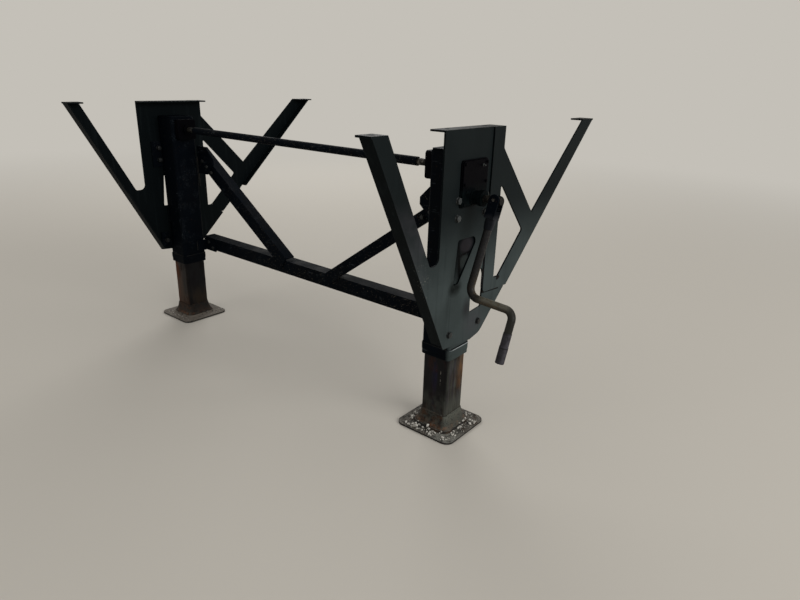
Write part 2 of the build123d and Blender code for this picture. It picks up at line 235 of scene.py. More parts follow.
def along(tree, place, axis, start, end):
    # 0 at start and 1 at end, both in metres along an axis
    parts = addNode(tree, "ShaderNodeSeparateXYZ", {0: place})
    ramp = addNode(tree, "ShaderNodeMapRange", {
        "Value": parts.outputs[axis], "From Min": start, "From Max": end}, interpolation_type="SMOOTHSTEP")
    return ramp.outputs["Result"]


def onLeg(tree, place, side):
    # 1 on one leg and 0 on the other
    return along(tree, place, "Y", -0.1 * sides[side], 0.1 * sides[side])


def facing(tree, axis, start, end):
    # 0 to 1 as the surface turns towards an axis, or towards its other end where both numbers are negative
    normal = addNode(tree, "ShaderNodeNewGeometry").outputs["Normal"]
    parts = addNode(tree, "ShaderNodeSeparateXYZ", {0: normal})
    ramp = addNode(tree, "ShaderNodeMapRange", {
        "Value": parts.outputs[axis], "From Min": start, "From Max": end})
    return ramp.outputs["Result"]


def outwards(tree, place):
    # 1 on faces turned away from the middle between the legs, 0 on those turned to it
    side = addNode(tree, "ShaderNodeSeparateXYZ", {0: place}).outputs["Y"]
    normal = addNode(tree, "ShaderNodeNewGeometry").outputs["Normal"]
    turned = addNode(tree, "ShaderNodeSeparateXYZ", {0: normal}).outputs["Y"]
    ramp = addNode(tree, "ShaderNodeMapRange", {
        "Value": times(tree, side, turned), "From Min": 0.02, "From Max": 0.7})
    return ramp.outputs["Result"]


def spot(tree, place, patch, soft=0.5):
    # 1 inside a patch, an ellipsoid in metres tilted about Y by degrees, fading over its outer part
    offset = addNode(tree, "ShaderNodeMapping", {
        "Vector": place, "Location": patch["at"], "Rotation": (0, radians(patch.get("tilt", 0)), 0),
        "Scale": patch["reach"]}, vector_type="TEXTURE")
    far = addNode(tree, "ShaderNodeVectorMath", {0: offset.outputs[0]}, operation="LENGTH")
    fade = addNode(tree, "ShaderNodeMapRange", {
        "Value": far.outputs["Value"], "From Min": 1.0, "From Max": 1.0 - soft})
    return fade.outputs["Result"]


def layered(tree, base, *coats):
    # colours laid over each other, each coat a mask and a hex colour
    colour = hexColour(base)
    for mask, code in coats:
        mixed = addNode(tree, "ShaderNodeMix", {0: mask, 6: colour, 7: hexColour(code)}, data_type="RGBA")
        colour = mixed.outputs[2]
    return colour


def dress(material, look, colour, height, rounded, dullness=None):
    # the last links of a finish: its colour, its relief and, where it varies, its roughness
    tree = material.node_tree
    shader = tree.nodes["Principled BSDF"]
    tree.links.new(colour, shader.inputs["Base Color"])
    bump = addNode(tree, "ShaderNodeBump", {
        "Height": height, "Strength": 1.0, "Distance": look["reliefMm"] / 1000})
    if rounded:
        tree.links.new(rounded, bump.inputs["Normal"])
    tree.links.new(bump.outputs[0], shader.inputs["Normal"])
    if dullness:
        tree.links.new(times(tree, (dullness, *look["roughnessRange"])), shader.inputs["Roughness"])
    return material


bracketLook = {
    "roughnessRange": (0.5, 0.72),
    "specular": 0.03,
    "reliefMm": 0.12,
    "paint": "#070c0e",
    "film": "#3e4646",
    "warmDust": "#47443c",
    "run": "#1c2224",
    "edge": "#6a6d6a",
    "smear": {       # below the window
        "at": (-0.062, -0.920, -0.534), "reach": (0.048, 0.02, 0.036), "colour": "#0a0f0f"},
    "reddish": {     # beside the notch
        "at": (0.020, -0.920, -0.632), "reach": (0.034, 0.02, 0.054), "colour": "#221f22"},
    "mauve": {       # round the rear one of the two lower bolts
        "at": (0.070, -0.920, -0.700), "reach": (0.090, 0.02, 0.080), "colour": "#48454a"},
    "chips": {       # stone chips at the foot of the near front arm
        "at": (-0.275, -0.920, -0.485), "reach": (0.075, 0.03, 0.110), "colour": "#77786f"},
    "edgeMm": 1.2,
    "cloudMm": 150,
    "armCloudMm": 80,
    "smearMm": 25,
    "runWidthMm": 18,
    "gritMm": 4,
    "chipMm": 6,
    "edgePatchMm": 30,
    "filmAndShadeFall": (-0.25, -0.54),     # the film of dust is thin at the first height and full at the second, which paints the upper part darker as shade
    "armAcross": (-0.16, -0.28),    # the front arm: mauve from here forwards, and between these heights
    "armFoot": (-0.56, -0.34),
    "armTop": (-0.18, -0.30),
}


def makeBracketEnamel():
    # dipped chassis enamel: satin and blackish, its outer faces dulled by a grey film of road dust
    # with rained-on runs; thinning the film on the upper part and on faces turned to the middle paints shade
    # there
    look = bracketLook
    material, tree, place, rounded = newFinish("bracketEnamel", look)
    edges = wornEdges(tree, rounded)
    # painted shade: the film thins upwards and on faces turned to the middle, leaving those darker
    height = times(tree, (along(tree, place, "Z", *look["filmAndShadeFall"]), 0.13, 1.0))
    outer = times(tree, (outwards(tree, place), 0.015, 1.0))
    clouds = grain(tree, place, look["cloudMm"], 0.3, 0.6, 6)
    film = times(tree, (clouds, 0.72, 1.0), height, outer)
    grit = grain(tree, place, look["gritMm"], 0.35, 0.7, 3)
    runs = grain(tree, place, look["runWidthMm"], 0.55, 0.75, 3, stretch=(1, 1, 14))
    arm = times(
        tree, along(tree, place, "X", *look["armAcross"]), along(tree, place, "Z", *look["armFoot"]),
        along(tree, place, "Z", *look["armTop"]), outer,
        grain(tree, place, look["armCloudMm"], 0.3, 0.65, shift=4.0))
    smear = times(
        tree, spot(tree, place, look["smear"], 0.6),
        (grain(tree, place, look["smearMm"], 0.35, 0.6), 0.7, 1.0))
    chips = times(
        tree, spot(tree, place, look["chips"], 0.8),
        grain(tree, place, look["chipMm"], 0.66, 0.70, 2, shift=5.0))
    colour = layered(
        tree, look["paint"],
        (film, look["film"]),
        (times(tree, arm, 0.42), look["mauve"]["colour"]),
        (times(tree, runs, 0.35), look["run"]),
        (times(tree, smear, 0.9), look["smear"]["colour"]),
        (times(tree, spot(tree, place, look["mauve"], 0.8), 0.35), look["mauve"]["colour"]),
        (times(tree, spot(tree, place, look["reddish"], 0.8), 0.65), look["reddish"]["colour"]),
        (times(tree, grit, outer, height, 0.10), look["warmDust"]),
        (chips, look["chips"]["colour"]),
        (times(tree, edges, grain(tree, place, look["edgePatchMm"], 0.45, 0.6), 0.3), look["edge"]))
    return dress(material, look, colour, grit, rounded, film)


chassisLook = {
    "roughnessRange": (0.55, 0.75),
    "specular": 0.03,
    "reliefMm": 0.15,
    "paint": "#02050a",
    "dust": "#0c151e",
    "roadDust": "#404847",
    "scuff": "#464b4f",
    "chip": "#6f685c",
    "rust": "#33241a",
    "edge": "#3b3f42",
    "collarHighlight": {       # painted highlight along the collar's top edge, on the crank's side
        "at": (0.010, -0.925, -0.779), "reach": (0.085, 0.03, 0.0032), "colour": "#9aa0a2"},
    "socket": {      # the crank's socket, rubbed bare like its rod
        "at": (-0.016, -1.015, -0.308), "reach": (0.050, 0.04, 0.050), "colour": "#36373a"},
    "marksAndShadows": [       # on the tube behind the window; the last two are painted shadows along the window's edges
        {"at": (0.000, -0.9135, -0.440), "reach": (0.075, 0.01, 0.130), "colour": "#101314"},
        {"at": (0.002, -0.9135, -0.392), "reach": (0.046, 0.01, 0.032), "colour": "#2a282b"},
        {"at": (-0.004, -0.9135, -0.452), "reach": (0.034, 0.01, 0.030), "tilt": 10, "colour": "#2c3130"},
        {"at": (0.000, -0.9135, -0.423), "reach": (0.060, 0.01, 0.0045), "tilt": -5, "colour": "#070607"},
        # painted shadow of the window's rear edge on the tube
        {"at": (0.030, -0.9135, -0.455), "reach": (0.021, 0.01, 0.105), "tilt": 32, "colour": "#020203"},
        # painted shade along the window's front edge
        {"at": (-0.037, -0.9135, -0.451), "reach": (0.008, 0.01, 0.100), "tilt": -8, "colour": "#070808"},
    ],
    "edgeMm": 1.8,
    "cloudMm": 90,
    "gritMm": 3,
    "scratchMm": 2.5,
    "scuffPatchMm": 45,
    "rustMm": 11,
    "chipMm": 6,
    "chipPatchMm": 60,
    "fewChipsMm": 5,
    "braceNear": (-0.775, -0.765),  # the brace lies between these two places along Y
    "braceFar": (0.60, 0.55),
    "farTube": (0.76, 0.80),        # from here on is the far leg, painted darker as shade with less dust and rust
    "splashed": (-0.40, -0.55),     # road dust below these heights
    "struckAcross": (-0.40, -0.60),     # stones chip the brace's low end beside the crank
    "struckUp": (-0.66, -0.69),
}


def makeChassisEnamel():
    # black chassis enamel, sprayed: bluish, chalky scuffs along the bars and rust where it is chipped
    look = chassisLook
    material, tree, place, rounded = newFinish("chassisEnamel", look)
    edges = wornEdges(tree, rounded)
    top = facing(tree, "Z", 0.3, 0.9)
    farTube = along(tree, place, "Y", *look["farTube"])
    clouds = grain(tree, place, look["cloudMm"], 0.35, 0.7, 6)
    dusty = times(tree, (clouds, 0.7, 0.95))
    grit = grain(tree, place, look["gritMm"], 0.35, 0.65, 3)
    scratches = grain(tree, place, look["scratchMm"], 0.60, 0.68, 2, stretch=(1, 22, 1))
    patches = grain(tree, place, look["scuffPatchMm"], 0.56, 0.62, 5, shift=3.0)
    rust = grain(tree, place, look["rustMm"], 0.66, 0.70, 4, shift=8.0)
    chips = times(
        tree, grain(tree, place, look["chipMm"], 0.66, 0.70, 2, shift=5.0),
        grain(tree, place, look["chipPatchMm"], 0.45, 0.6, 2, shift=7.0))
    brace = times(
        tree, along(tree, place, "Y", *look["braceNear"]), along(tree, place, "Y", *look["braceFar"]),
        facing(tree, "X", -0.5, -0.9))
    struck = times(
        tree, along(tree, place, "Y", *look["struckAcross"]), brace,
        along(tree, place, "Z", *look["struckUp"]))
    fewChips = times(tree, brace, grain(tree, place, look["fewChipsMm"], 0.70, 0.73, 1, shift=11.0), 0.7)
    splashed = times(tree, outwards(tree, place), along(tree, place, "Z", *look["splashed"]))
    # painted highlight along the collar's top edge
    collarHighlight = times(tree, spot(tree, place, look["collarHighlight"], 0.3), facing(tree, "Y", -0.3, -0.7))
    socket = spot(tree, place, look["socket"], 0.4)
    marksAndShadows = [(times(tree, spot(tree, place, mark, 0.4), 0.9), mark["colour"]) for mark in look["marksAndShadows"]]
    colour = layered(
        tree, look["paint"],
        # painted shade: less dust on the far leg
        (times(tree, clouds, (farTube, 0.22, 0.08)), look["dust"]),
        (times(tree, top, clouds, 0.2), look["dust"]),
        (times(tree, splashed, dusty), look["roadDust"]),
        *marksAndShadows,
        (times(tree, scratches, patches, 0.55), look["scuff"]),
        (times(tree, edges, patches, 0.7), look["edge"]),
        (times(tree, struck, chips), look["chip"]),
        (fewChips, look["chip"]),
        (times(tree, rust, (farTube, 0.35, 0.15)), look["rust"]),
        (times(tree, socket, dusty), look["socket"]["colour"]),
        # painted shade on the socket's front side
        (times(tree, socket, facing(tree, "X", -0.1, -0.65), 0.8), look["paint"]),
        (times(tree, collarHighlight, 0.9), look["collarHighlight"]["colour"]))
    return dress(material, look, colour, grit, rounded, clouds)


gearboxLook = {
    "roughnessRange": (0.48, 0.7),
    "specular": 0.02,
    "reliefMm": 0.35,
    "paint": "#030607",
    # near black for the painted shade above
    "greaseAndShade": "#020104",
    "dust": "#0d1516",
    "edge": "#15191b",
    "edgeMm": 2.2,
    "sandMm": 2.5,
    "cloudMm": 35,
    "darkTopRise": (-0.22, -0.16),   # painted shade: clean below the first height, near black above the second
}


def makeGearboxPaint():
    # cast iron under black enamel: sand-cast skin, glossy and painted near black above as shade, dusty below
    look = gearboxLook
    material, tree, place, rounded = newFinish("gearboxEnamel", look)
    sand = grain(tree, place, look["sandMm"], 0.3, 0.7, 2)
    clouds = grain(tree, place, look["cloudMm"], 0.35, 0.65, 5)
    # painted shade over the upper part
    darkTop = along(tree, place, "Z", *look["darkTopRise"])
    belowShade = addNode(tree, "ShaderNodeMath", {0: 1.0, 1: darkTop}, operation="SUBTRACT").outputs[0]
    dusty = times(tree, belowShade, clouds)
    colour = layered(
        tree, look["paint"],
        (times(tree, dusty, 0.6), look["dust"]),
        (times(tree, darkTop, 0.85), look["greaseAndShade"]),
        (times(tree, wornEdges(tree, rounded), clouds, 0.6), look["edge"]))
    return dress(material, look, colour, sand, rounded, dusty)


tubeLook = {
    "roughnessRange": (0.45, 0.75),
    "metallic": 0.1,
    "specular": 0.14,
    "reliefMm": 0.3,
    "steel": "#08080a",
    "pale": "#43453f",
    "purple": "#2a2730",
    "rust": "#33231a",
    "farRust": "#3f2d20",
    "farRed": "#5f3419",
    "farFoot": "#31271b",
    # also the colour of painted shade on the legs' front and inner faces
    "greaseAndShade": "#060608",
    "mud": "#383a35",
    "paleMud": "#484a43",
    "orange": {      # bare rust below the collar, near the rear corner
        "at": (0.052, -0.905, -0.880), "reach": (0.062, 0.03, 0.120), "colour": "#644426"},
    "violet": {      # old primer showing on the near leg's front
        "at": (-0.058, -0.852, -0.905), "reach": (0.02, 0.017, 0.080), "colour": "#141130"},
    "redBrown": {    # and rust above it
        "at": (-0.058, -0.855, -0.850), "reach": (0.03, 0.05, 0.045), "colour": "#2a1612"},
    "cornerHighlight": {      # painted highlight: a thin bright line near the corner
        "at": (-0.0572, -0.878, -0.895), "reach": (0.004, 0.0020, 0.048), "colour": "#66645d"},
    "edgeMm": 5.0,
    "streakMm": 13,
    "purpleMm": 16,
    "scratchMm": 2.6,
    "cornerHighlightMm": 7,
    "blotchMm": 38,
    "orangeMm": 15,
    "lowRustMm": 16,
    "greaseMm": 30,
    "mudMm": 22,
    "farFootMm": 30,
    "pitMm": 3,
    "darkTopRise": (-0.90, -0.820),  # old grease up to the collar's foot
    "rustFall": (-0.96, -1.058),    # rust down to the foot casting
    "mudFall": (-0.95, -1.01),      # grey mud, splashed up
    "paleMudFall": (-0.96, -1.04),
    "frontShadeRise": (-1.05, -0.97),    # painted shade on the near leg's front faces, down to the mud
    "cornerAcross": (0.862, 0.824),     # the far leg's corner painted dark as shade, above its red edge and its brown foot
    "cornerRise": (-1.06, -0.96),
    "edgeAcross": (0.855, 0.880),
    "farFootFall": (-0.93, -1.03),
}


def makeWornTube():
    # drawn steel tube, once painted: wiped by the collar in upright streaks, old grease above, rust below
    look = tubeLook
    material, tree, place, rounded = newFinish("wornTube", look)
    streaks = grain(tree, place, look["streakMm"], 0.40, 0.60, 5, stretch=(1, 1, 14))
    purple = grain(tree, place, look["purpleMm"], 0.5, 0.6, 3, stretch=(1, 1, 10), shift=3.0)
    scratches = grain(tree, place, look["scratchMm"], 0.45, 0.65, 3, stretch=(1, 1, 30), shift=2.0)
    blotches = grain(tree, place, look["blotchMm"], 0.46, 0.60, 6, stretch=(1, 1, 1.8), shift=5.0)
    pits = grain(tree, place, look["pitMm"], 0.56, 0.66, 3)
    near = onLeg(tree, place, "near")
    far = onLeg(tree, place, "far")
    crankSide = facing(tree, "Y", -0.3, -0.8)
    front = facing(tree, "X", -0.3, -0.8)
    rusty = times(
        tree, along(tree, place, "Z", *look["rustFall"]),
        grain(tree, place, look["lowRustMm"], 0.42, 0.6, 5), 0.6)
    darkTop = times(
        tree, along(tree, place, "Z", *look["darkTopRise"]),
        grain(tree, place, look["greaseMm"], 0.35, 0.6, 4, stretch=(1, 1, 3)), 0.8)
    # painted shade on the near leg's front faces, in blotches
    frontShade = times(tree, front, near, (blotches, 0.92, 0.5), along(tree, place, "Z", *look["frontShadeRise"]))
    muddy = times(
        tree, front, near, along(tree, place, "Z", *look["mudFall"]),
        grain(tree, place, look["mudMm"], 0.36, 0.56, 5, stretch=(1, 1, 1.6), shift=6.0), 0.6)
    farCorner = times(
        tree, front, far, along(tree, place, "Y", *look["cornerAcross"]),
        along(tree, place, "Z", *look["cornerRise"]), 0.85)
    farEdge = times(
        tree, front, far, along(tree, place, "Y", *look["edgeAcross"]), (blotches, 0.35, 1.0), 0.6)
    farFoot = times(
        tree, crankSide, far, along(tree, place, "Z", *look["farFootFall"]),
        grain(tree, place, look["farFootMm"], 0.36, 0.6, 4, stretch=(1, 1, 3), shift=1.0), 0.6)
    orange = times(
        tree, spot(tree, place, look["orange"], 0.65),
        (grain(tree, place, look["orangeMm"], 0.38, 0.60, 6, stretch=(1, 1, 3), shift=1.0), 0.35, 1.0), 0.95)
    violet = times(tree, spot(tree, place, look["violet"], 0.7), (streaks, 0.5, 1.0), 0.85)
    # painted highlight near the corner
    cornerHighlight = times(
        tree, spot(tree, place, look["cornerHighlight"]), grain(tree, place, look["cornerHighlightMm"], 0.48, 0.56, 2))
    colour = layered(
        tree, look["steel"],
        # painted light: the near leg's crank-side faces paler, with the streaks
        (times(tree, crankSide, near, (streaks, 0.18, 0.85)), look["pale"]),
        (times(tree, streaks, 0.12), look["pale"]),
        (times(tree, purple, 0.6), look["purple"]),
        (times(tree, front, far, (streaks, 0.6, 0.95)), look["farRust"]),
        (times(tree, blotches, 0.30), look["rust"]),
        (rusty, look["rust"]),
        (darkTop, look["greaseAndShade"]),
        # painted shade on the far leg's faces turned to the middle
        (times(tree, crankSide, far, 0.85), look["greaseAndShade"]),
        (frontShade, look["greaseAndShade"]),
        # mud painted paler on the near leg's crank-side faces as lit
        (times(tree, crankSide, near, along(tree, place, "Z", *look["paleMudFall"]), 0.75), look["paleMud"]),
        (muddy, look["mud"]),
        (farEdge, look["farRed"]),
        (farCorner, look["greaseAndShade"]),
        (farFoot, look["farFoot"]),
        (violet, look["violet"]["colour"]),
        (orange, look["orange"]["colour"]),
        (times(tree, spot(tree, place, look["redBrown"]), blotches), look["redBrown"]["colour"]),
        (times(tree, scratches, 0.6), look["greaseAndShade"]),
        (cornerHighlight, look["cornerHighlight"]["colour"]))
    return dress(material, look, colour, times(tree, pits, blotches), rounded, blotches)


castingLook = {
    "roughness": 0.75,
    "metallic": 0.1,
    "specular": 0.25,
    "reliefMm": 0.6,
    "iron": "#1e1a16",
    "rust": "#3b2718",
    "ring": "#4d2f1a",
    "bare": "#704b30",
    "dark": "#0e0c0b",
    "mud": "#474a43",
    "paleMud": "#575951",
    "edgeMm": 2.5,
    "sandMm": 3.5,
    "blotchMm": 24,
    "ringMm": 30,
    "bareMm": 22,
    "scaleMm": 9,
    "fleckMm": 6,
    "mudMm": 20,
    "footMudMm": 14,
    "mudFall": (-1.070, -1.108),    # heights where each begins and where it is full
    "paleMudFall": (-1.064, -1.094),
    "footMudRise": (-1.098, -1.088),
    "ringFall": (-1.084, -1.104),
    "rimTop": (-1.094, -1.099),     # rubbed bare in places just above the shoe
    "rimFoot": (-1.107, -1.102),
}


def makeFootCasting():
    # raw steel casting: pitted rust with black scale, and grey mud drying at its foot
    look = castingLook
    material, tree, place, rounded = newFinish("rustyCasting", look)
    sand = grain(tree, place, look["sandMm"], 0.3, 0.7, 4)
    blotches = grain(tree, place, look["blotchMm"], 0.42, 0.6, 6)
    flecks = grain(tree, place, look["fleckMm"], 0.56, 0.64, 3, shift=12.0)
    near = onLeg(tree, place, "near")
    far = onLeg(tree, place, "far")
    crankSide = facing(tree, "Y", -0.2, -0.7)
    ring = times(
        tree, along(tree, place, "Z", *look["ringFall"]),
        grain(tree, place, look["ringMm"], 0.40, 0.6, 4, shift=2.0), 0.85)
    bare = times(
        tree, along(tree, place, "Z", *look["rimTop"]), along(tree, place, "Z", *look["rimFoot"]),
        grain(tree, place, look["bareMm"], 0.5, 0.56, 4, shift=8.0), 0.6)
    mud = times(
        tree, along(tree, place, "Z", *look["mudFall"]),
        grain(tree, place, look["mudMm"], 0.42, 0.60, 5, shift=4.0), 0.6)
    footMud = times(
        tree, near, grain(tree, place, look["footMudMm"], 0.46, 0.60, 5, shift=3.0),
        along(tree, place, "Z", *look["footMudRise"]), 0.35)
    # mud painted paler on the near hub's crank-side faces as lit
    paleMud = times(tree, crankSide, near, (along(tree, place, "Z", *look["paleMudFall"]), 0.85, 0.45))
    colour = layered(
        tree, look["iron"],
        (times(tree, blotches, 0.8), look["rust"]),
        (ring, look["ring"]),
        (grain(tree, place, look["scaleMm"], 0.58, 0.66, 4, shift=6.0), look["dark"]),
        (bare, look["bare"]),
        (paleMud, look["paleMud"]),
        (mud, look["mud"]),
        (footMud, look["mud"]),
        (times(tree, flecks, 0.6), look["dark"]),
        # painted shade on the far foot, least on its front faces
        (times(tree, far, (facing(tree, "X", -0.3, -0.7), 0.65, 0.2)), look["dark"]))
    return dress(material, look, colour, sand, rounded)


shoeLook = {
    "roughness": 0.8,
    "metallic": 0.1,
    "specular": 0.35,
    "reliefMm": 0.6,
    "plate": "#1f1d1a",
    "rust": "#41301f",
    "dust": "#45423c",
    "brownDust": "#6c655c",
    "chalk": "#858076",
    # dark patches, and painted shade on the side faces
    "darkened": "#161513",
    "silt": {        # dried on the near shoe's corner
        "at": (-0.092, -0.942, -1.117), "reach": (0.085, 0.085, 0.03), "colour": "#8a8981"},
    "edgeMm": 2.5,
    "rustMm": 34,
    "dustMm": 22,
    "gritMm": 4,
    "darkPatchMm": 18,
    "edgePatchMm": 20,
}


def makeShoePlate():
    # hot-rolled plate, scraped by gravel: rust and mill scale, with pale stone dust lying on its flats
    look = shoeLook
    material, tree, place, rounded = newFinish("scrapedPlate", look)
    top = facing(tree, "Z", 0.5, 0.95)
    rust = grain(tree, place, look["rustMm"], 0.45, 0.6, 5, shift=3.0)
    drifts = grain(tree, place, look["dustMm"], 0.36, 0.54, 6)
    grit = grain(tree, place, look["gritMm"], 0.46, 0.60, 3)
    darkened = grain(tree, place, look["darkPatchMm"], 0.55, 0.64, 4, shift=7.0)
    edges = times(tree, wornEdges(tree, rounded), grain(tree, place, look["edgePatchMm"], 0.4, 0.6), 0.4)
    colour = layered(
        tree, look["plate"],
        (times(tree, rust, 0.7), look["rust"]),
        (times(tree, top, drifts, 0.85), look["dust"]),
        (times(tree, top, grit, drifts, 0.8), look["chalk"]),
        (times(tree, top, spot(tree, place, look["silt"], 0.6), (grit, 0.45, 1.0)), look["silt"]["colour"]),
        (times(tree, onLeg(tree, place, "far"), 0.9), look["brownDust"]),
        (times(tree, darkened, 0.7), look["darkened"]),
        (edges, look["dust"]),
        # painted shade on the plate's side faces
        (times(tree, facing(tree, "Z", 0.3, 0.0), 0.85), look["darkened"]))
    return dress(material, look, colour, grit, rounded)


shaftLook = {
    "roughnessRange": (0.28, 0.6),
    "metallic": 0.9,
    "reliefMm": 0.05,
    "steel": "#57544f",
    "oil": "#0d0c0d",
    "turnMm": 0.9,        # real rings are 0.2 mm apart, drawn coarser to show
    "filmMm": 14,
}


def makeShaftSteel():
    # turned bright steel, oiled: fine rings from the lathe under a brown film
    look = shaftLook
    material, tree, place, rounded = newFinish("turnedSteel", look)
    rings = grain(tree, place, look["turnMm"], 0.3, 0.7, 1, stretch=(60, 1, 60))
    film = grain(tree, place, look["filmMm"], 0.32, 0.52, 5)
    colour = layered(
        tree, look["steel"],
        (times(tree, film, 0.9), look["oil"]),
        (times(tree, rings, 0.3), look["oil"]))
    return dress(material, look, colour, rings, rounded, film)


crankLook = {
    "roughnessRange": (0.42, 0.68),
    "metallic": 0.1,
    "specular": 0.22,
    "reliefMm": 0.2,
    "skin": "#1d1b17",
    "paint": "#141418",
    "handle": "#12120f",
    "wearAndHighlight": "#5b594f",
    "rust": "#2f2519",
    "olive": "#2b2a1e",
    "mottle": "#4a4030",
    "rodShade": "#050507",
    "scaleMm": 6,
    "blotchMm": 28,
    "mottleMm": 9,
    "paintRise": (-0.49, -0.42),    # painted above the second height, rusty below the first
    "armFrom": (-1.02, -1.06),      # along Y, from the rod to the handle
    "rodUpTo": (-1.05, -1.02),
    "mottleUpTo": (-1.15, -1.11),
    "handleFrom": (-1.135, -1.165),
}


def makeCrankSteel():
    # bent round bar, once painted: brown weathered skin with pale worn flecks; the arm is painted pale on top
    # as lit and the rod dark in front as shade
    look = crankLook
    material, tree, place, rounded = newFinish("weatheredBar", look)
    scale = grain(tree, place, look["scaleMm"], 0.42, 0.6, 4)
    blotches = grain(tree, place, look["blotchMm"], 0.40, 0.62, 5)
    painted = along(tree, place, "Z", *look["paintRise"])
    rusty = along(tree, place, "Z", *reversed(look["paintRise"]))
    arm = along(tree, place, "Y", *look["armFrom"])
    handle = along(tree, place, "Y", *look["handleFrom"])
    upward = facing(tree, "Z", -0.1, 0.6)
    front = facing(tree, "X", -0.10, -0.65)      # painted shade on the rod's front side
    mottle = times(
        tree, grain(tree, place, look["mottleMm"], 0.5, 0.6, 3, shift=6.0), rusty,
        along(tree, place, "Y", *look["mottleUpTo"]), 0.6)
    colour = layered(
        tree, look["skin"],
        (times(tree, blotches, 0.8), look["rust"]),
        (times(tree, painted, 0.9), look["paint"]),
        # painted highlight on the arm's upward faces
        (times(tree, arm, upward, 0.85), look["wearAndHighlight"]),
        (times(tree, arm, facing(tree, "Z", 0.0, -0.7), 0.6), look["olive"]),
        (times(tree, scale, 0.18), look["wearAndHighlight"]),
        (times(tree, handle, 0.9), look["handle"]),
        (mottle, look["mottle"]),
        # painted shade on the rod's front side
        (times(tree, front, along(tree, place, "Y", *look["rodUpTo"]), 0.8), look["rodShade"]))
    return dress(material, look, colour, scale, rounded, blotches)


gripLook = {
    "roughness": 0.62,
    "specular": 0.22,
    "reliefMm": 0.12,
    "plastic": "#222025",
    "rubbed": "#48464c",
    "dirtAndShade": "#0c0b0e",
    "split": {"at": (-0.117, -1.157, -0.668), "reach": (0.03, 0.03, 0.0030), "tilt": 15},   # round the sleeve
    "edgeMm": 1.5,
    "grainMm": 1.6,
    "rubMm": 20,
    "dirtMm": 7,
}


def makeGripPlastic():
    # dipped vinyl sleeve: dull, purplish black, rubbed grey where the hand holds it
    look = gripLook
    material, tree, place, rounded = newFinish("dippedVinyl", look)
    fine = grain(tree, place, look["grainMm"], 0.3, 0.7, 2)
    rubs = grain(tree, place, look["rubMm"], 0.35, 0.6, 5)
    colour = layered(
        tree, look["plastic"],
        (times(tree, rubs, 0.7), look["rubbed"]),
        (grain(tree, place, look["dirtMm"], 0.6, 0.7, 3, shift=2.0), look["dirtAndShade"]),
        (times(tree, wornEdges(tree, rounded), 0.5), look["rubbed"]),
        # painted shade on the grip's front side
        (times(tree, facing(tree, "X", -0.3, -0.95), 0.6), look["dirtAndShade"]),
        (spot(tree, place, look["split"], 0.3), look["dirtAndShade"]))
    return dress(material, look, colour, fine, rounded)


boltLook = {
    "roughness": 0.5,
    "metallic": 0.2,
    "specular": 0.4,
    "reliefMm": 0.08,
    "zinc": "#6a6d6c",
    "paint": "#262b2c",
    "oversprayAndShade": "#06090b",         # all but the near leg's front bolts are sprayed over; it also paints shade on the bolts' front facets
    "rust": "#332a22",
    "edgeMm": 1.2,
    "flakeMm": 2.5,
    "rustMm": 9,
    "rearOfLeg": (0.065, 0.075),    # sprayed over from here to the rear,
    "lowDown": (-0.5, -0.6),        # below these heights,
    "inboard": (-0.90, -0.88),      # and from the near panel inwards
}


def makeBoltZinc():
    # zinc-flake coated steel under a spray of enamel: dull grey on the corners, rust in the threads
    look = boltLook
    material, tree, place, rounded = newFinish("zincFlake", look)
    flakes = grain(tree, place, look["flakeMm"], 0.4, 0.6, 2)
    rust = grain(tree, place, look["rustMm"], 0.58, 0.66, 4)
    low = along(tree, place, "Z", *look["lowDown"])
    colour = layered(
        tree, look["paint"],
        (times(tree, flakes, 0.35), look["zinc"]),
        (times(tree, wornEdges(tree, rounded), 0.8), look["zinc"]),
        (times(tree, rust, 0.4), look["rust"]),
        (times(tree, along(tree, place, "X", *look["rearOfLeg"]), 0.8), look["oversprayAndShade"]),
        (times(tree, low, 0.6), look["oversprayAndShade"]),
        # painted shade on the bolts' front facets
        (times(tree, facing(tree, "X", -0.1, -0.5), (low, 0.75, 0.95)), look["oversprayAndShade"]),
        (times(tree, along(tree, place, "Y", *look["inboard"]), 0.95), look["oversprayAndShade"]))
    return dress(material, look, colour, flakes, rounded)


weldLook = {
    "roughness": 0.55,
    "specular": 0.12,
    "reliefMm": 0.3,
    "paint": "#080a0c",
    "rust": "#21180f",
    "spatter": "#4a4b4a",
    "rustMm": 13,
    "spatterMm": 3,
}


def makeWeldSkin():
    # fillet weld under enamel: rippled and dark, with rust creeping from its toes
    look = weldLook
    material, tree, place, rounded = newFinish("paintedWeld", look)
    blooms = grain(tree, place, look["rustMm"], 0.5, 0.62, 5)
    beads = grain(tree, place, look["spatterMm"], 0.4, 0.6, 2)
    colour = layered(
        tree, look["paint"],
        (times(tree, blooms, 0.5), look["rust"]),
        (times(tree, beads, 0.04), look["spatter"]))
    return dress(material, look, colour, beads, rounded)


stoneLook = {
    "roughness": 0.9,
    "reliefMm": 0.4,
    "pale": "#d6d2c8",
    "dark": "#6b665d",
    "speckMm": 2.0,
    "chipMm": 11,         # about a stone's size, so that each has its own shade
}


def makeCrushedStone():
    # crushed limestone: matte, pale and dusty, each chip a little different
    look = stoneLook
    material, tree, place, rounded = newFinish("crushedStone", look)
    speck = grain(tree, place, look["speckMm"], 0.35, 0.65, 3)
    chip = grain(tree, place, look["chipMm"], 0.35, 0.65, 1, shift=9.0)
    colour = layered(
        tree, look["pale"],
        (times(tree, chip, 0.7), look["dark"]),
        (times(tree, speck, 0.3), look["dark"]))
    return dress(material, look, colour, speck, rounded)


